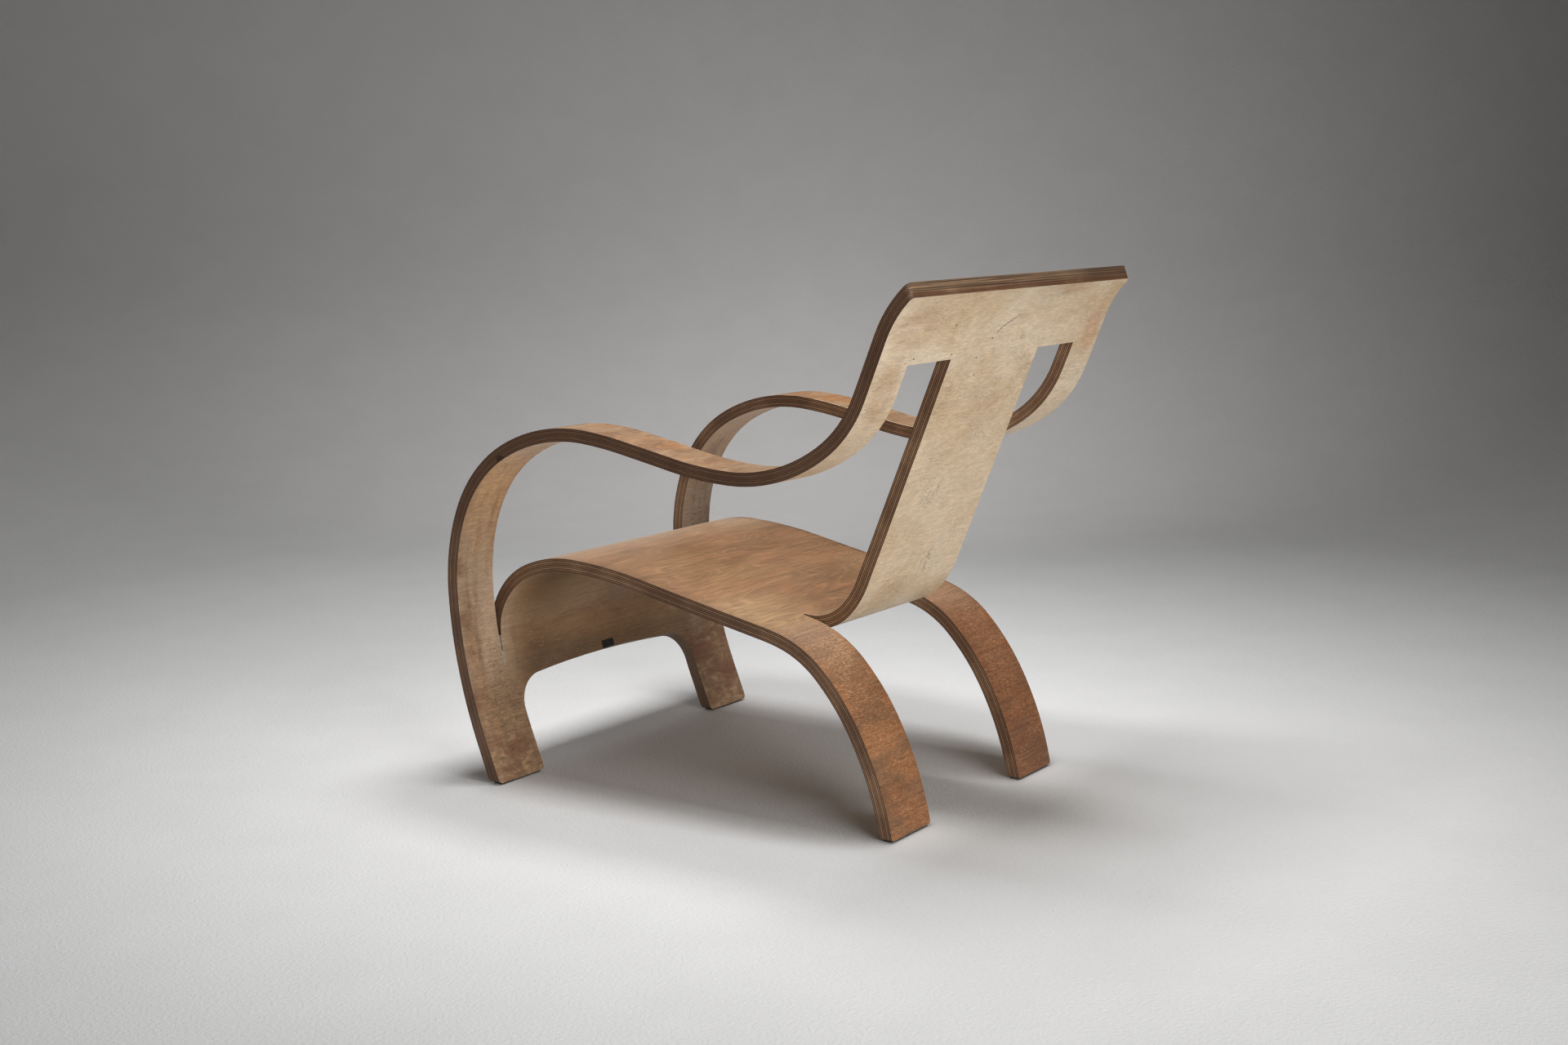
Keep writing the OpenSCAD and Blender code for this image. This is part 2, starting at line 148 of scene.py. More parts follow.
class Graph:
    """A material's nodes, with short calls that each return an output socket."""

    def __init__(self, name):
        self.material = bpy.data.materials.new(name)
        self.material.use_nodes = True
        self.tree = self.material.node_tree
        self.tree.nodes.clear()
        self.at = self.add("ShaderNodeTexCoord").outputs["Object"]

    def add(self, kind, **settings):
        node = self.tree.nodes.new(kind)
        for key, value in settings.items():
            setattr(node, key, value)
        return node

    def put(self, socket, value):
        """Links a socket, or sets a number, vector or colour."""
        if isinstance(value, bpy.types.NodeSocket):
            self.tree.links.new(value, socket)
        elif isinstance(value, tuple) and len(value) == 3 and socket.type == "RGBA":
            socket.default_value = (*value, 1.0)
        else:
            socket.default_value = value

    def math(self, operation, a, b=0.0, clamp=False):
        node = self.add("ShaderNodeMath", operation=operation, use_clamp=clamp)
        self.put(node.inputs[0], a)
        self.put(node.inputs[1], b)
        return node.outputs[0]

    def chain(self, operation, values):
        result = values[0]
        for value in values[1:]:
            result = self.math(operation, result, value)
        return result

    def times(self, *values):
        return self.chain("MULTIPLY", values)

    def plus(self, *values):
        return self.chain("ADD", values)

    def most(self, *values):
        return self.chain("MAXIMUM", values)

    def minus(self, a, b):
        return self.math("SUBTRACT", a, b)

    def size(self, value):
        return self.math("ABSOLUTE", value)

    def length(self, u, v):
        return self.math("SQRT", self.plus(self.times(u, u), self.times(v, v)))

    def noise(self, scale, offset=(0.0, 0.0, 0.0), detail=2.0, roughness=0.5, distortion=0.0):
        """Noise about 0 to 1, with as many cells per metre along each axis as scale says."""
        place = self.add("ShaderNodeVectorMath", operation="MULTIPLY_ADD")
        self.put(place.inputs[0], self.at)
        self.put(place.inputs[1], scale)
        self.put(place.inputs[2], offset)
        node = self.add("ShaderNodeTexNoise")
        self.put(node.inputs["Vector"], place.outputs[0])
        self.put(node.inputs["Scale"], 1.0)
        self.put(node.inputs["Detail"], detail)
        self.put(node.inputs["Roughness"], roughness)
        self.put(node.inputs["Distortion"], distortion)
        return node.outputs[0]

    def step(self, value, low, high, to_low=0.0, to_high=1.0):
        """Goes smoothly from to_low, where value is low, to to_high, where it is high."""
        node = self.add("ShaderNodeMapRange", interpolation_type="SMOOTHSTEP", clamp=True)
        self.put(node.inputs["Value"], value)
        self.put(node.inputs["From Min"], low)
        self.put(node.inputs["From Max"], high)
        self.put(node.inputs["To Min"], to_low)
        self.put(node.inputs["To Max"], to_high)
        return node.outputs[0]

    def mix(self, factor, a, b, blend="MIX"):
        node = self.add("ShaderNodeMix", data_type="RGBA", blend_type=blend, clamp_factor=True)
        self.put(node.inputs["Factor"], factor)
        self.put(node.inputs["A"], a)
        self.put(node.inputs["B"], b)
        return node.outputs["Result"]

    def shade(self, colour, amount):
        """Multiplies a colour by a grey amount."""
        node = self.add("ShaderNodeVectorMath", operation="SCALE")
        self.put(node.inputs[0], colour)
        self.put(node.inputs["Scale"], amount)
        return node.outputs[0]

    def split(self, vector):
        node = self.add("ShaderNodeSeparateXYZ")
        self.put(node.inputs[0], vector)
        return node.outputs[0], node.outputs[1], node.outputs[2]

    def axes(self):
        """X, Y and Z of the point in the object's own frame, in metres."""
        return self.split(self.at)

    def normal(self):
        """X, Y and Z of the face's true normal."""
        return self.split(self.add("ShaderNodeNewGeometry").outputs["True Normal"])

    def finish(self, colour, roughness, height=None, bump=0.0):
        """Ends the graph with a plain shader and gives the material."""
        shader = self.add("ShaderNodeBsdfPrincipled")
        self.put(shader.inputs["Base Color"], colour)
        self.put(shader.inputs["Roughness"], roughness)
        if height is not None:
            node = self.add("ShaderNodeBump")
            self.put(node.inputs["Strength"], 1.0)
            self.put(node.inputs["Distance"], bump)
            self.put(node.inputs["Height"], height)
            self.put(shader.inputs["Normal"], node.outputs[0])
        out = self.add("ShaderNodeOutputMaterial")
        self.put(out.inputs[0], shader.outputs[0])
        return self.material


def linear(r, g, b):
    """A colour as seen on a screen, 0 to 255, as the linear value that a shader takes."""
    def one(v):
        v /= 255
        return v / 12.92 if v <= 0.04045 else ((v + 0.055) / 1.055) ** 2.4
    return one(r), one(g), one(b)


# Colours as they would look on a screen under plain white light
SEAT_DARK = linear(113, 79, 50)
SEAT_LIGHT = linear(135, 102, 70)
SEAT_ORANGE = linear(133, 88, 56)
SEAT_NEAR = linear(166, 136, 101)
# A painted sheen, pale and grey, for the front bend of the seat
SEAT_NOSE_SHEEN = linear(178, 150, 124)
ARM_TAN = linear(120, 87, 59)
ARM_PALE = linear(144, 114, 84)
ARM_ORANGE = linear(144, 97, 54)
LEG_BROWN = linear(117, 79, 51)
LEG_TAN = linear(128, 91, 62)
LEG_ORANGE = linear(152, 92, 50)
LEG_DARK = linear(106, 60, 33)
LEG_ROOT = linear(128, 99, 75)
FLECK = linear(192, 154, 114)
TICK = linear(92, 62, 43)
PORE = linear(74, 50, 34)
INNER_BEIGE = linear(150, 120, 90)
INNER_TAN = linear(194, 156, 114)
INNER_ORANGE = linear(160, 122, 88)
INNER_DARK = linear(122, 96, 73)
INNER_RUST = linear(130, 91, 68)
INNER_GREY = linear(180, 153, 125)
UNDER_DARK = linear(176, 138, 100)
UNDER_SHADED = linear(108, 80, 53)
UNDER_LIGHT = linear(196, 160, 120)
UNDER_RED = linear(156, 108, 78)
CREAM_LIGHT = linear(225, 203, 174)
CREAM_YELLOW = linear(211, 184, 148)
CREAM_TAN = linear(192, 159, 123)
CREAM_BLEACHED = linear(226, 208, 182)
CREAM_STAIN = linear(202, 154, 118)
CREAM_SCUFF = linear(132, 96, 70)
MARK = linear(56, 38, 27)
EDGE_DARK = linear(84, 54, 36)
EDGE_BROWN = linear(108, 74, 50)
EDGE_LINE = linear(179, 145, 109)
EDGE_LINE_DIM = linear(151, 118, 86)
EDGE_WORN = linear(121, 86, 60)
EDGE_RUST = linear(92, 62, 44)
EDGE_SOOT = linear(79, 49, 33)
EDGE_TOP = linear(124, 97, 72)
EDGE_TOP_DARK = linear(74, 50, 35)
EDGE_TOP_LINE = linear(152, 124, 94)
EDGE_ARCH = linear(116, 92, 68)
EDGE_GRIME = linear(98, 62, 38)
ARRIS_BARE = linear(206, 174, 134)
ARRIS_BRIGHT = linear(230, 204, 168)
ARRIS_DIRTY = linear(104, 74, 52)
FILLER = linear(168, 160, 148)
PAD_GREY = linear(58, 53, 48)
PAD_DUST = linear(98, 90, 80)
PLATE_BLACK = linear(26, 24, 24)
PLATE_SCRATCH = linear(84, 78, 72)
PLATE_DUST = linear(70, 62, 54)
PAPER = linear(220, 220, 220)


# Birch face veneers: their grain runs across the chair, along X, so every pattern is long in X and
# short in Y and Z, and carries on round the bends.

def grain(g):
    """Fibres, broad streaks, growth lines and pores, each as a value about 0 to 1."""
    fibres = g.noise((70, 900, 900), detail=2, roughness=0.6)
    streaks = g.noise((13, 300, 300), offset=(3, 1, 7), detail=5, roughness=0.7, distortion=0.2)
    figure = g.noise((2.2, 8, 8), offset=(5, 3, 1), detail=2, roughness=0.5, distortion=1.1)
    growth = g.math("FRACT", g.times(figure, 26.0))
    pores = g.noise((150, 1300, 1300), offset=(11, 5, 2), detail=1, roughness=0.5)
    return fibres, streaks, growth, pores


def band(g, value, centre, half_width, soft):
    """1 where value lies within half_width of centre."""
    away = g.size(g.minus(value, centre))
    return g.step(away, half_width, half_width + soft, 1.0, 0.0)


def segment(g, x, z, a, b, width):
    """1 along the line from a to b in the XZ plane."""
    ax, az = a
    dx, dz = b[0] - ax, b[1] - az
    px, pz = g.minus(x, ax), g.minus(z, az)
    along = g.plus(g.times(px, dx), g.times(pz, dz))
    along = g.math("DIVIDE", along, dx * dx + dz * dz, clamp=True)
    away = g.length(g.minus(px, g.times(along, dx)), g.minus(pz, g.times(along, dz)))
    return g.step(away, width * 0.5, width, 1.0, 0.0)


def spot(g, u, v, at, size, soft=0.35):
    """1 inside an ellipse in the plane of u and v."""
    pu = g.math("DIVIDE", g.minus(u, at[0]), size[0])
    pv = g.math("DIVIDE", g.minus(v, at[1]), size[1])
    return g.step(g.length(pu, pv), 1.0 - soft, 1.0 + soft, 1.0, 0.0)


def seat_wood(g, x, y, cloud, patch):
    """Brown with an orange cast, paler on the near side, with a pale grey painted sheen down the
    front.
    """
    seat = g.mix(g.step(cloud, 0.28, 0.66), SEAT_DARK, SEAT_LIGHT)
    seat = g.mix(g.step(patch, 0.45, 0.66, 0.0, 0.42), seat, SEAT_ORANGE)
    near = g.times(g.step(x, 0.03, 0.20, 0.0, 0.55), g.step(y, -0.02, 0.05))
    seat = g.mix(near, seat, SEAT_NEAR)
    # Painted sheen: the front of the seat is made paler and greyer, standing in for the highlight
    # on its bend
    return g.mix(g.step(y, -0.16, -0.34, 0.0, 0.9), seat, SEAT_NOSE_SHEEN)


def arm_wood(g, cloud, patch, cluster):
    """Tan with pale and orange patches, mottled by wear."""
    arms = g.mix(g.step(cloud, 0.38, 0.62), ARM_TAN, ARM_PALE)
    arms = g.mix(g.step(patch, 0.48, 0.60, 0.0, 0.75), arms, ARM_ORANGE)
    arms = g.mix(g.step(cluster, 0.50, 0.60, 0.0, 0.6), arms, ARM_PALE)
    mottle = g.noise((70, 150, 150), offset=(8, 3, 1), detail=5, roughness=0.7)
    return g.shade(arms, g.step(mottle, 0.36, 0.66, 1.14, 0.80))


def rear_leg_wood(g, x, y, z, side, leg, patch, cluster):
    """Brown, worn to orange along the edges and at the foot, darker on the far leg."""
    legs = g.mix(g.step(patch, 0.34, 0.66), LEG_BROWN, LEG_TAN)
    edges = g.most(band(g, side, X_LEG, 0.004, 0.018), band(g, side, X_SEAT, 0.005, 0.022))
    foot = g.times(leg, g.step(z, 0.22, 0.09))
    wear = g.times(g.most(g.times(edges, 0.8), foot), g.step(cluster, 0.36, 0.62))
    legs = g.mix(g.times(wear, 0.70), legs, LEG_ORANGE)
    legs = g.mix(g.step(x, 0.0, -0.1, 0.0, 0.60), legs, LEG_DARK)
    return g.mix(g.step(y, 0.235, 0.150, 0.0, 0.75), legs, LEG_ROOT)


def top_veneer():
    """Front and top face: brown and figured on the seat, tan on the arms, orange down the rear
    legs."""
    g = Graph("birch_face_top")
    x, y, z = g.axes()
    side = g.size(x)
    fibres, streaks, growth, pores = grain(g)
    cloud = g.noise((4, 8, 8), detail=4, roughness=0.6, distortion=0.6)
    patch = g.noise((6, 15, 15), offset=(2, 8, 4), detail=5, roughness=0.62, distortion=0.9)
    cluster = g.noise((16, 30, 30), offset=(9, 2, 2), detail=2)

    # Base colours of the three parts
    leg = g.times(g.step(y, 0.10, 0.17), g.step(side, 0.112, 0.126), g.step(z, 0.34, 0.28))
    arm = g.times(g.step(side, X_SEAT, X_ARM), g.step(z, 0.26, 0.36), g.step(z, 0.64, 0.56))
    on_seat = g.minus(1.0, g.most(leg, g.times(arm, 0.6)))
    colour = g.mix(arm, seat_wood(g, x, y, cloud, patch), arm_wood(g, cloud, patch, cluster))
    colour = g.mix(leg, colour, rear_leg_wood(g, x, y, z, side, leg, patch, cluster))

    # Growth lines, streaks and fibres
    lines = g.plus(g.step(growth, 0.0, 0.60, 1.06, 0.90), g.step(growth, 0.66, 0.88, 0.0, 0.33))
    lines = g.plus(1.0, g.times(g.minus(lines, 1.0), g.step(cluster, 0.30, 0.60, 0.25, 1.0)))
    in_front = g.times(g.step(y, -0.16, -0.30, 1.0, 0.35), g.step(z, 0.42, 0.50, 1.0, 0.5))
    colour = g.mix(g.times(on_seat, in_front), colour, g.shade(colour, lines))
    strong = g.step(streaks, 0.34, 0.66, 0.77, 1.25)
    streaked = g.mix(on_seat, strong, g.step(streaks, 0.34, 0.66, 0.83, 1.18))
    colour = g.mix(1.0, colour, streaked, blend="MULTIPLY")
    broad = g.noise((7, 70, 70), offset=(6, 6, 3), detail=3, roughness=0.6, distortion=0.8)
    colour = g.mix(on_seat, colour, g.shade(colour, g.step(broad, 0.36, 0.64, 0.95, 1.06)))
    colour = g.shade(colour, g.step(fibres, 0.30, 0.72, 0.90, 1.08))

    # Pores, chips beside the far slit, scratches, and bare wood on the far arm's inner edge
    chips = g.times(band(g, x, -X_SEAT, 0.0035, 0.003), g.step(cluster, 0.50, 0.56))
    chips = g.times(chips, band(g, z, 0.31, 0.06, 0.01))
    dark = g.times(g.step(pores, 0.635, 0.70), g.step(cluster, 0.38, 0.62, 0.10, 0.38))
    colour = g.mix(g.most(dark, g.times(chips, 0.8)), colour, PORE)
    scratched = g.noise((150, 1500, 1500), offset=(1, 9, 6), detail=2)
    scratched = g.times(g.step(scratched, 0.52, 0.65), g.step(cluster, 0.36, 0.60, 0.36, 0.80))
    worn = g.most(g.times(leg, g.step(x, 0.0, -0.1, 1.0, 0.7)), g.times(arm, 0.45))
    pale = g.most(g.times(scratched, worn), g.step(pores, 0.36, 0.32, 0.0, 0.08))
    colour = g.mix(pale, colour, FLECK)
    bare = g.times(band(g, x, -X_ARM - ARRIS, 0.0006, 0.0008), g.step(z, 0.43, 0.46))
    bare = g.times(bare, g.step(cluster, 0.37, 0.52), arm, 0.85)
    colour = g.mix(bare, colour, ARRIS_BRIGHT)

    roughness = g.plus(g.step(patch, 0.35, 0.65, 0.36, 0.48), g.times(leg, 0.16))
    height = g.minus(g.times(fibres, 0.6), g.times(dark, 1.2))
    return g.finish(colour, roughness, height, FACE_BUMP)


def strip_wood(g, x, z, side, front, cluster, down, mottle):
    """Rear of the arms and front legs: tan above, beige and stained below, rusty where worn."""
    upright = g.noise((34, 6, 6), offset=(3, 7, 2), detail=3, roughness=0.6)
    strip = g.mix(g.step(z, 0.30, 0.46), INNER_BEIGE, INNER_TAN)
    stained = g.times(g.step(upright, 0.50, 0.66, 0.0, 0.5), g.step(z, 0.52, 0.40, 0.4, 1.0))
    strip = g.mix(stained, strip, INNER_ORANGE)
    dirty = g.times(g.step(down, 0.45, 0.65), g.step(z, 0.52, 0.36, 0.15, 0.45))
    strip = g.mix(dirty, strip, INNER_DARK)
    spotted = g.shade(strip, g.step(mottle, 0.34, 0.66, 0.80, 1.21))
    strip = g.mix(g.step(z, 0.46, 0.34, 0.35, 1.0), strip, spotted)
    rubbed = g.times(band(g, z, 0.27, 0.065, 0.10), g.step(upright, 0.68, 0.45), 0.85)
    strip = g.mix(rubbed, strip, INNER_GREY)

    outer = g.times(band(g, side, X_EDGE, 0.002, 0.022), g.step(z, 0.42, 0.30))
    far_foot = g.times(g.step(z, 0.22, 0.12), g.step(x, 0.0, -0.1))
    foot = g.most(g.step(z, 0.13, 0.01), far_foot)
    rust = g.times(g.most(g.times(outer, 0.8), foot), g.step(cluster, 0.40, 0.62))
    strip = g.mix(g.times(rust, front, 0.9), strip, INNER_RUST)
    scuffed = g.times(foot, g.step(mottle, 0.52, 0.62), g.step(cluster, 0.60, 0.42, 0.2, 0.8))
    return g.mix(g.times(scuffed, 0.5), strip, INNER_GREY)


def apron_wood(g, x, z, cloud, patch):
    """Rear of the apron and underside of the seat: tan, with painted shade on the near side and low
    down.
    """
    # Painted shade: the near side and the lowest part are darkened towards UNDER_SHADED
    near_side = g.times(g.step(x, 0.0, 0.16, 0.0, 0.9), g.step(x, 0.15, 0.21, 1.0, 0.78))
    shaded = g.most(near_side, g.step(z, 0.19, 0.15, 0.0, 0.7))
    under = g.mix(g.step(cloud, 0.36, 0.64), UNDER_DARK, UNDER_LIGHT)
    under = g.mix(g.step(patch, 0.54, 0.66, 0.0, 0.4), under, UNDER_RED)
    under = g.mix(g.times(shaded, 0.85), under, UNDER_SHADED)
    # Painted shade: the low part, from the middle towards the near side, is darkened further
    low_near_shade = g.times(g.step(z, 0.205, 0.155), g.step(x, -0.04, 0.08))
    low_near_shade = g.times(low_near_shade, g.step(x, 0.14, 0.20, 1.0, 0.7))
    return g.shade(under, g.step(low_near_shade, 0.0, 1.0, 1.0, 0.62))


def cream_wood(g, x, z, cloud, patch):
    """Rear of the splat and headrest: bleached cream with tan clouds and one stain."""
    cream = g.mix(g.step(cloud, 0.36, 0.64), CREAM_LIGHT, CREAM_YELLOW)
    cream = g.mix(g.step(patch, 0.53, 0.68, 0.0, 0.50), cream, CREAM_TAN)
    cream = g.mix(g.times(g.step(patch, 0.46, 0.36), 0.35), cream, CREAM_BLEACHED)
    cream = g.mix(g.times(spot(g, x, z, STAIN, STAIN_SIZE), 0.55), cream, CREAM_STAIN)
    for at, size in CLOUDS:
        near = g.times(spot(g, x, z, at, size, 0.6), g.step(patch, 0.36, 0.60, 0.35, 1.0))
        cream = g.mix(near, cream, CREAM_TAN)
    for at in SCUFFS:
        halo = g.times(spot(g, x, z, at, SCUFF_HALO, 0.6), 0.45)
        cream = g.mix(halo, cream, CREAM_BLEACHED)
    return g.mix(g.step(z, 0.62, 0.48, 0.0, 0.42), cream, CREAM_YELLOW)


def scuff_mask(g, x, z, pores, down):
    """1 in the short dark scratches of the splat's two scuffs."""
    scuffs = g.most(*[spot(g, x, z, at, SCUFF_SIZE, 0.5) for at in SCUFFS])
    return g.times(scuffs, g.step(pores, 0.51, 0.56), g.step(down, 0.44, 0.52))


def crack_and_dots(g, x, z):
    """The wandering crack and the dark specks of the headrest."""
    wander = g.noise((160, 160, 160), offset=(3, 3, 3), detail=2)
    zig = g.plus(z, g.times(g.minus(wander, 0.5), CRACK_WANDER))
    crack = g.most(*[segment(g, x, zig, a, b, CRACK_WIDTH) for a, b in zip(CRACK, CRACK[1:])])
    crack = g.times(crack, g.step(wander, 0.33, 0.45), 0.75)
    return g.most(crack, *[spot(g, x, z, at, DOT_SIZE) for at in DOTS])


def back_veneer():
    """Rear and under face: bleached cream on the back, beige on the legs, tan on the apron."""
    g = Graph("birch_face_back")
    x, y, z = g.axes()
    side = g.size(x)
    fibres, streaks, growth, pores = grain(g)
    cloud = g.noise((5, 8, 8), offset=(1, 2, 9), detail=3, roughness=0.55, distortion=0.5)
    patch = g.noise((9, 17, 17), offset=(6, 1, 3), detail=4, roughness=0.62, distortion=0.8)
    cluster = g.noise((14, 26, 26), offset=(2, 9, 5), detail=3, roughness=0.6)
    down = g.noise((75, 11, 11), offset=(4, 4, 8), detail=4, roughness=0.65)
    mottle = g.noise((60, 130, 130), offset=(8, 3, 1), detail=5, roughness=0.7)

    # Base colours of the three parts, and the filler beside the saw line
    back = g.times(g.step(y, -0.02, 0.15), g.step(z, 0.240, 0.268))
    front = g.step(y, -0.20, -0.27)
    apron = g.minus(1.0, g.most(back, g.step(side, 0.175, 0.236)))
    apron = g.times(apron, g.step(z, 0.105, 0.138))
    strip = strip_wood(g, x, z, side, front, cluster, down, mottle)
    colour = g.mix(apron, strip, apron_wood(g, x, z, cloud, patch))
    colour = g.mix(back, colour, cream_wood(g, x, z, cloud, patch))
    filler = g.times(band(g, side, X_SAW, 0.0012, 0.0025), g.step(z, 0.150, 0.178))
    filler = g.times(filler, g.step(z, 0.212, 0.205), front)
    colour = g.mix(g.times(filler, 0.65), colour, FILLER)

    # Growth lines, streaks and fibres
    smooth = g.plus(g.times(apron, 0.05), g.times(back, 0.50))
    colour = g.shade(colour, g.step(growth, 0.0, 0.85, 1.025, 0.970))
    streaked = g.shade(colour, g.step(streaks, 0.32, 0.68, 0.88, 1.10))
    colour = g.mix(g.minus(1.0, smooth), colour, streaked)
    colour = g.shade(colour, g.step(fibres, 0.32, 0.70, 0.88, 1.10))

    # Dark ticks, crowded near the top and on the front legs, and pale nicks on the apron
    near_top = g.most(g.step(z, 0.66, 0.73, 0.0, 0.5), band(g, z, 0.615, 0.02, 0.03))
    crowd = g.plus(g.step(cluster, 0.46, 0.66, 0.04, 0.50), g.times(near_top, back, 0.22))
    crowd = g.plus(crowd, g.times(front, g.minus(1.0, apron), 0.36))
    dark = g.times(g.step(pores, 0.58, 0.68), crowd, g.minus(1.0, g.times(apron, 0.6)))
    colour = g.mix(dark, colour, TICK)
    nick = g.noise((85, 460, 460), offset=(5, 8, 6), detail=0)
    colour = g.mix(g.times(g.step(nick, 0.76, 0.80), apron, 0.45), colour, FLECK)

    # Marks on the splat and headrest
    worn = scuff_mask(g, x, z, pores, down)
    colour = g.mix(g.times(worn, back, 0.75), colour, CREAM_SCUFF)
    colour = g.mix(back, colour, g.shade(colour, g.step(mottle, 0.36, 0.68, 1.04, 0.91)))
    marks = g.times(crack_and_dots(g, x, z), back, 0.82)
    colour = g.mix(marks, colour, MARK)

    roughness = g.step(patch, 0.35, 0.65, 0.42, 0.56)
    height = g.minus(g.times(fibres, 0.5), g.plus(dark, g.times(marks, 1.5)))
    return g.finish(colour, roughness, height, FACE_BUMP)


# Edges of the veneers. Seen from the chair's side, the veneers whose grain runs across show dark
# end grain and those between them show light long grain. On the headrest's top edge, at the feet
# and in the arch it is the other way round, and the edge is more evenly brown.

def edge(name, light_from_side, clean):
    """Cut edge of a veneer, light or dark when it is seen from the chair's side."""
    g = Graph(name)
    x, y, z = g.axes()
    side = g.size(x)
    from_side = g.step(g.size(g.normal()[0]), 0.5, 0.8)
    blotch = g.noise((12, 12, 12), offset=(4, 2, 6), detail=4, roughness=0.6)
    grit = g.noise((460, 460, 460), detail=2, roughness=0.6)
    along_x = g.noise((5, 620, 620), offset=(1, 1, 4), detail=4, roughness=0.6)

    if light_from_side:
        side_tones = (EDGE_LINE, EDGE_LINE_DIM) if clean else (EDGE_LINE_DIM, EDGE_WORN)
        end_tones = (EDGE_TOP_DARK, EDGE_TOP)
    else:
        side_tones = (EDGE_BROWN if clean else EDGE_DARK, EDGE_DARK)
        end_tones = (EDGE_TOP, EDGE_TOP_LINE)
    side_cut = g.mix(g.step(blotch, 0.35, 0.65), *side_tones)
    end_cut = g.mix(g.step(along_x, 0.40, 0.60), *end_tones)

    # Rust down the front legs and soot along the arms' outer edges
    rust = g.times(g.step(y, -0.24, -0.32), g.step(z, 0.36, 0.22))
    side_cut = g.mix(g.times(rust, 0.55), side_cut, EDGE_RUST)
    soot = g.times(g.step(side, 0.27, 0.30), g.step(z, 0.28, 0.42))
    soot = g.times(soot, g.step(blotch, 0.30, 0.58, 0.75, 0.45))
    side_cut = g.mix(soot, side_cut, EDGE_SOOT)

    # The headrest's top edge is darker at its far end and grimy along its rear corner
    end_cut = g.shade(end_cut, 1.12 if clean else 0.84)
    end_cut = g.mix(g.times(g.step(x, -0.10, -0.22), 0.7), end_cut, EDGE_TOP_DARK)
    grime = g.times(g.step(y, 0.4066, 0.4090), g.step(z, 0.70, 0.73))
    grime = g.times(grime, g.step(blotch, 0.30, 0.55, 0.35, 0.85))
    end_cut = g.mix(grime, end_cut, EDGE_GRIME)

    colour = g.mix(from_side, end_cut, side_cut)
    arch = g.times(g.step(y, -0.24, -0.28), g.step(side, 0.218, 0.208), g.step(z, 0.200, 0.185))
    colour = g.mix(g.times(arch, 0.6), colour, EDGE_ARCH)
    knot = g.times(spot(g, y, z, KNOT, KNOT_SIZE, 0.20), g.step(x, 0.30, 0.302))
    colour = g.mix(g.times(knot, 0.95), colour, MARK)
    fine = g.step(along_x, 0.3, 0.7, 0.72, 1.18)
    texture = g.mix(from_side, fine, g.step(grit, 0.3, 0.7, 0.80, 1.14))
    colour = g.mix(1.0, colour, texture, blend="MULTIPLY")
    colour = g.shade(colour, g.step(blotch, 0.28, 0.74, 1.10, 0.84))
    height = g.plus(g.times(grit, 0.5), g.times(along_x, g.minus(1.0, from_side)))
    return g.finish(colour, EDGE_ROUGHNESS, height, EDGE_BUMP)


def arris():
    """The worn corner between face and edge: bare pale wood here, dirty brown there."""
    g = Graph("birch_arris")
    x, y, z = g.axes()
    bare = g.noise((24, 24, 24), offset=(7, 3, 5), detail=4, roughness=0.65)
    grit = g.noise((500, 500, 500), detail=2, roughness=0.6)
    bright = g.times(band(g, x, -X_ARM, 0.002, 0.002), g.step(z, 0.40, 0.44))
    back = g.times(g.step(y, 0.12, 0.20), g.step(z, 0.262, 0.30))
    top = g.step(z, 0.735, 0.745)
    level = g.plus(bare, g.plus(g.times(bright, 0.16), g.times(back, 0.05)))
    level = g.minus(level, g.times(top, 0.10))
    colour = g.mix(g.step(level, 0.46, 0.60), ARRIS_DIRTY, ARRIS_BARE)
    colour = g.mix(g.times(bright, g.step(bare, 0.42, 0.56)), colour, ARRIS_BRIGHT)
    colour = g.shade(colour, g.step(grit, 0.3, 0.7, 0.85, 1.08))
    return g.finish(colour, ARRIS_ROUGHNESS)


def pad_rubber():
    """Dusty dark grey under the feet."""
    g = Graph("pad_rubber")
    grit = g.noise((900, 900, 900), detail=2)
    dust = g.noise((60, 60, 60), detail=3)
    colour = g.mix(g.step(dust, 0.4, 0.7, 0.0, 0.5), PAD_GREY, PAD_DUST)
    colour = g.shade(colour, g.step(grit, 0.3, 0.7, 0.85, 1.15))
    return g.finish(colour, PAD_ROUGHNESS, grit, PAD_BUMP)


def plate_finish():
    """Scratched, dusty black."""
    g = Graph("plate_black")
    scratch = g.noise((60, 700, 700), detail=3, roughness=0.6)
    dust = g.noise((90, 90, 90), detail=3)
    colour = g.mix(g.step(scratch, 0.60, 0.72, 0.0, 0.5), PLATE_BLACK, PLATE_SCRATCH)
    colour = g.mix(g.step(dust, 0.55, 0.75, 0.0, 0.4), colour, PLATE_DUST)
    return g.finish(colour, PLATE_ROUGHNESS, scratch, PLATE_BUMP)


def paper():
    """Pale studio paper with a fine tooth."""
    g = Graph("studio_paper")
    speck = g.noise((190, 190, 190), detail=3, roughness=0.6)
    broad = g.noise((7, 7, 7), detail=2)
    colour = g.shade(PAPER, g.step(speck, 0.3, 0.7, 0.985, 1.01))
    colour = g.shade(colour, g.step(broad, 0.3, 0.7, 0.985, 1.01))
    return g.finish(colour, PAPER_ROUGHNESS, speck, PAPER_BUMP)


TOP = top_veneer()
BACK = back_veneer()
SIDE_DARK = edge("birch_edge_cross", light_from_side=False, clean=False)
SIDE_BROWN = edge("birch_edge_cross_clean", light_from_side=False, clean=True)
SIDE_DULL = edge("birch_edge_long", light_from_side=True, clean=False)
SIDE_LIGHT = edge("birch_edge_long_clean", light_from_side=True, clean=True)
ARRIS_WORN = arris()
PAD = pad_rubber()
PLATE = plate_finish()


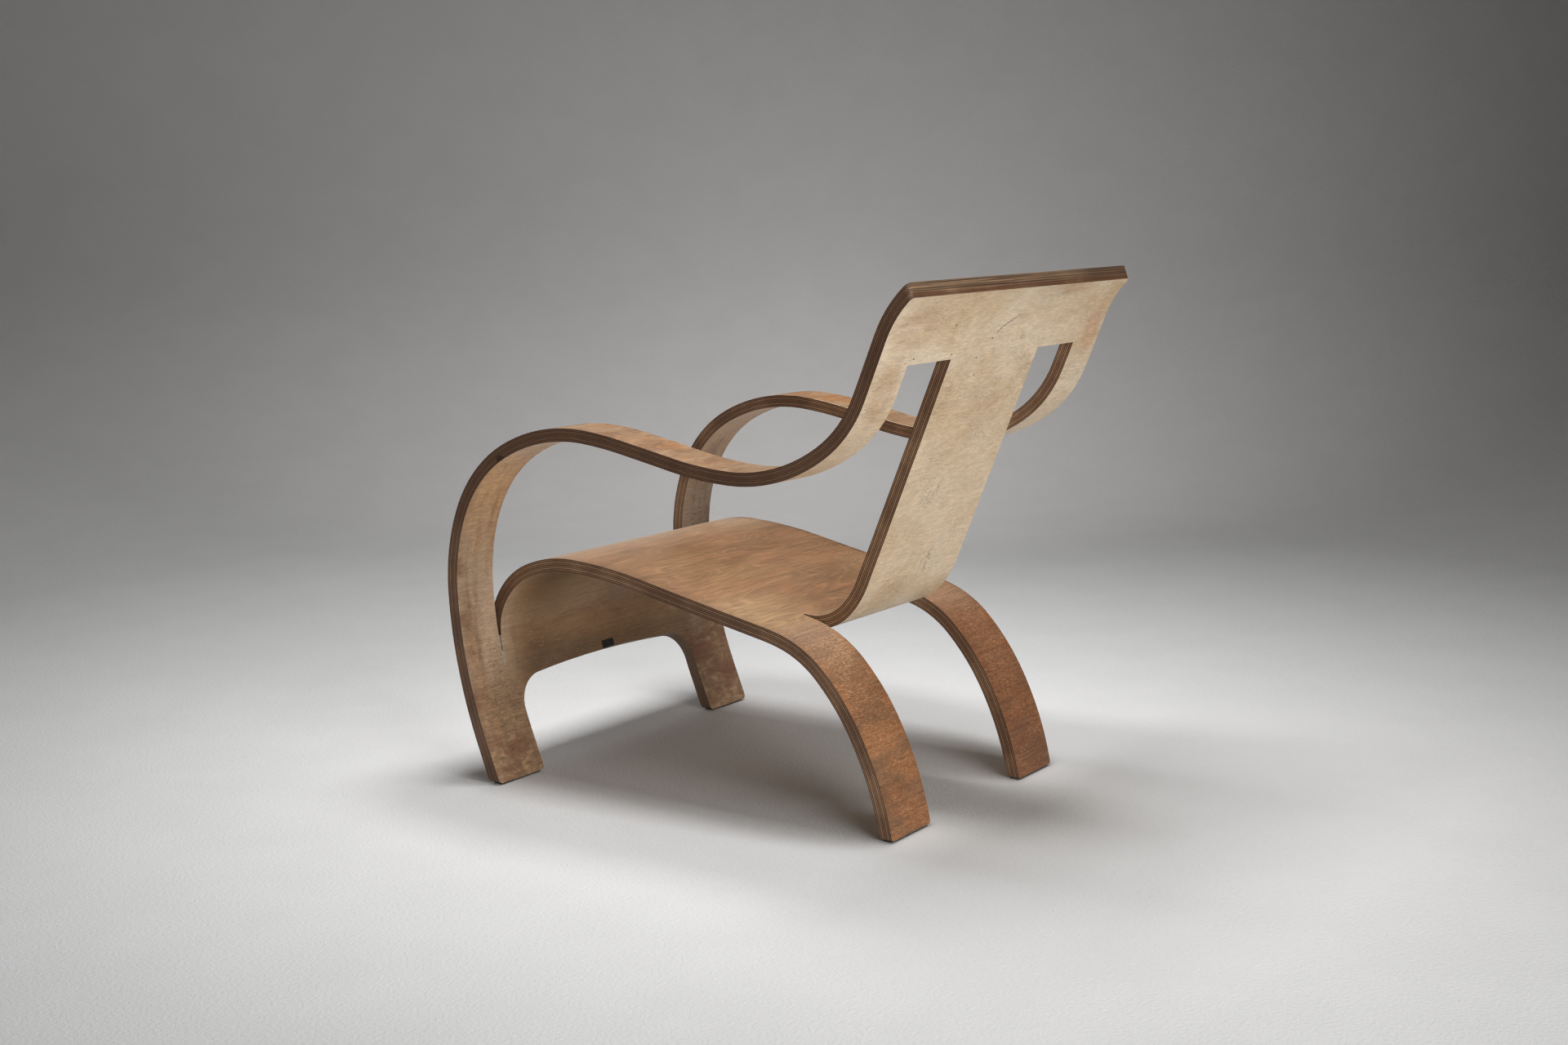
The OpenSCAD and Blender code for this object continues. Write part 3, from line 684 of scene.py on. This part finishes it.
def set_materials(obj, *materials):
    """Puts these materials in place of the object's own, and every face on the first."""
    obj.data.materials.clear()
    for material in materials:
        obj.data.materials.append(material)


def add_object(mesh, name):
    """Ends a bmesh and gives it as an object in the scene."""
    data = bpy.data.meshes.new(name)
    mesh.to_mesh(data)
    mesh.free()
    obj = bpy.data.objects.new(name, data)
    bpy.context.scene.collection.objects.link(obj)
    return obj


def surface_of(node_name):
    """A CAD node's surface, to measure distances and cast rays onto."""
    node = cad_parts[node_name]
    return BVHTree.FromObject(node, bpy.context.evaluated_depsgraph_get())


def glue_lines(node):
    """Turns the corners of a light veneer's edges into fine dark lines."""
    weld = node.modifiers.new("weld", "WELD")
    weld.merge_threshold = WELD
    glue = node.modifiers.new("glue_lines", "BEVEL")
    glue.width = GLUE
    glue.segments = 1
    glue.limit_method = "ANGLE"
    glue.angle_limit = GLUE_ANGLE
    glue.material = 1


# Inner veneers and pads keep their own solids
for name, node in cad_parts.items():
    layer = int(name[-2:]) if name.startswith("core_") else 0
    if layer % 2:
        set_materials(node, SIDE_BROWN if layer in CLEAN_LAYERS else SIDE_DARK)
    elif layer:
        set_materials(node, SIDE_LIGHT if layer in CLEAN_LAYERS else SIDE_DULL, SIDE_DARK)
        glue_lines(node)
    elif name.startswith("foot_pad"):
        set_materials(node, PAD)


def outer_veneer(node_name, under_name, face_material):
    """The face or back veneer with its outer arris worn round, in place of the sharp solid."""
    under = surface_of(under_name)
    mesh = bmesh.new()
    mesh.from_mesh(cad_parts[node_name].data)
    bmesh.ops.remove_doubles(mesh, verts=mesh.verts, dist=WELD)
    bmesh.ops.dissolve_limit(mesh, angle_limit=FLAT_ANGLE, verts=mesh.verts, edges=mesh.edges)
    mesh.normal_update()
    outer, rim = set(), set()
    for face in mesh.faces:
        # The corner farthest from the veneer underneath tells outer face, rim and glued face
        middle = face.calc_center_median()
        corners = [v.co.lerp(middle, CORNER_INSET) for v in face.verts]
        away = max((c - under.find_nearest(c)[0] for c in corners), key=lambda v: v.length)
        if away.length > CLEAR_OF_GLUE:
            (outer if away.normalized().dot(face.normal) > OUTWARD else rim).add(face)
    for face in mesh.faces:
        face.material_index = 0 if face in outer else 1
        face.smooth = True
    edges = [
        e for e in mesh.edges
        if len(e.link_faces) == 2 and sum(f in outer for f in e.link_faces) == 1
        and sum(f in rim for f in e.link_faces) == 1
    ]
    bmesh.ops.bevel(
        mesh, geom=edges, offset=ARRIS, offset_type="OFFSET", segments=ARRIS_SEGMENTS, profile=0.5,
        affect="EDGES", clamp_overlap=True, material=2, loop_slide=True,
    )
    piece = add_object(mesh, node_name + "_worn")
    piece.data.set_sharp_from_angle(angle=SHARP_ANGLE)
    # Not by set_materials, which would put every face back on the first material
    for material in (face_material, SIDE_DARK, ARRIS_WORN):
        piece.data.materials.append(material)
    normals = piece.modifiers.new("weighted_normals", "WEIGHTED_NORMAL")
    normals.keep_sharp = True
    normals.weight = 100
    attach(piece, "root")
    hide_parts(node_name)


def black_plate():
    """A small thin plate that lies on the rear of the apron and follows its slight curve."""
    surface = surface_of("back_veneer")
    across, up = PLATE_CELLS
    mesh = bmesh.new()
    grids = []
    for lift in (-PLATE_SUNK, PLATE_THICKNESS):
        grid = []
        for j in range(up + 1):
            row = []
            for i in range(across + 1):
                x = PLATE_AT[0] + PLATE_SIZE[0] * (i / across - 0.5)
                z = PLATE_AT[1] + PLATE_SIZE[1] * (j / up - 0.5)
                # From the middle of the chair forwards, onto the rear of the apron
                hit, normal, _, _ = surface.ray_cast(Vector((x, 0.0, z)), Vector((0, -1, 0)))
                row.append(mesh.verts.new(hit + normal * lift))
            grid.append(row)
        grids.append(grid)
    low, high = grids
    for j in range(up):
        for i in range(across):
            mesh.faces.new((high[j][i], high[j][i + 1], high[j + 1][i + 1], high[j + 1][i]))
            mesh.faces.new((low[j][i], low[j + 1][i], low[j + 1][i + 1], low[j][i + 1]))
    ring = [(0, i) for i in range(across)] + [(j, across) for j in range(up)]
    ring += [(up, i) for i in range(across, 0, -1)] + [(j, 0) for j in range(up, 0, -1)]
    for (j0, i0), (j1, i1) in zip(ring, ring[1:] + ring[:1]):
        mesh.faces.new((low[j0][i0], low[j1][i1], high[j1][i1], high[j0][i0]))
    bmesh.ops.recalc_face_normals(mesh, faces=mesh.faces)
    plate = add_object(mesh, "apron_plate")
    round_edges = plate.modifiers.new("round_edges", "BEVEL")
    round_edges.width = PLATE_ROUND
    round_edges.segments = PLATE_ROUND_SEGMENTS
    round_edges.limit_method = "ANGLE"
    set_materials(plate, PLATE)
    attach(plate, "root")


# The plate is laid on the CAD veneer, so it comes before that veneer is replaced
black_plate()
outer_veneer("face_veneer", "core_02", TOP)
outer_veneer("back_veneer", "core_12", BACK)


def studio():
    """A pale studio floor that curves up all round."""
    profile = [(FLOOR_RADIUS * 0.5, 0.0), (FLOOR_RADIUS, 0.0)]
    for k in range(1, COVE_STEPS + 1):
        a = math.pi / 2 * k / COVE_STEPS
        profile.append((FLOOR_RADIUS + COVE_RADIUS * math.sin(a), COVE_RADIUS * (1 - math.cos(a))))
    profile.append((FLOOR_RADIUS + COVE_RADIUS, RIM_HEIGHT))
    mesh = bmesh.new()
    centre = mesh.verts.new((0, 0, 0))
    rings = []
    for r, z in profile:
        ring = []
        for t in range(STAGE_TURNS):
            a = 2 * math.pi * t / STAGE_TURNS
            ring.append(mesh.verts.new((r * math.cos(a), r * math.sin(a), z)))
        rings.append(ring)
    for t in range(STAGE_TURNS):
        after = (t + 1) % STAGE_TURNS
        mesh.faces.new((centre, rings[0][t], rings[0][after]))
        for a, b in zip(rings, rings[1:]):
            mesh.faces.new((a[t], b[t], b[after], a[after]))
    for face in mesh.faces:
        face.smooth = True
    stage = add_object(mesh, "studio")
    set_materials(stage, paper())


studio()


def area_light(name, at, target, size, power, spread, colour):
    """A rectangular light at one place that faces another and isn't seen itself."""
    light = bpy.data.lights.new(name, "AREA")
    light.shape = "RECTANGLE"
    light.size, light.size_y = size
    light.energy = power
    light.color = colour
    light.spread = math.radians(spread)
    obj = bpy.data.objects.new(name, light)
    obj.location = at
    obj.rotation_euler = (Vector(target) - Vector(at)).to_track_quat("-Z", "Y").to_euler()
    obj.visible_camera = False
    bpy.context.scene.collection.objects.link(obj)


for name, settings in LIGHTS.items():
    area_light(name, *settings)

world = bpy.data.worlds.new("studio_air")
world.use_nodes = True
background = world.node_tree.nodes["Background"]
background.inputs["Color"].default_value = AIR_COLOUR
background.inputs["Strength"].default_value = AIR_STRENGTH
bpy.context.scene.world = world
bpy.context.scene.view_settings.view_transform = "Standard"


def photo_camera():
    """The scene's camera, from the numbers above."""
    level = math.cos(PITCH)
    forward = Vector((math.cos(HEADING) * level, math.sin(HEADING) * level, math.sin(PITCH)))
    level_right = forward.cross(Vector((0, 0, 1))).normalized()
    level_up = level_right.cross(forward)
    right = math.cos(ROLL) * level_right + math.sin(ROLL) * level_up
    up = math.cos(ROLL) * level_up - math.sin(ROLL) * level_right
    data = bpy.data.cameras.new("photo")
    data.sensor_width = SENSOR_WIDTH
    data.lens = FOCAL * SENSOR_WIDTH / WIDTH
    data.shift_x = -AXIS_RIGHT / WIDTH
    data.shift_y = AXIS_DOWN / WIDTH
    data.clip_start = CLIP_START
    camera = bpy.data.objects.new("photo", data)
    axes = Matrix((right, up, -forward)).transposed()
    camera.matrix_world = Matrix.Translation(CAMERA_AT) @ axes.to_4x4()
    bpy.context.scene.collection.objects.link(camera)
    bpy.context.scene.camera = camera


photo_camera()
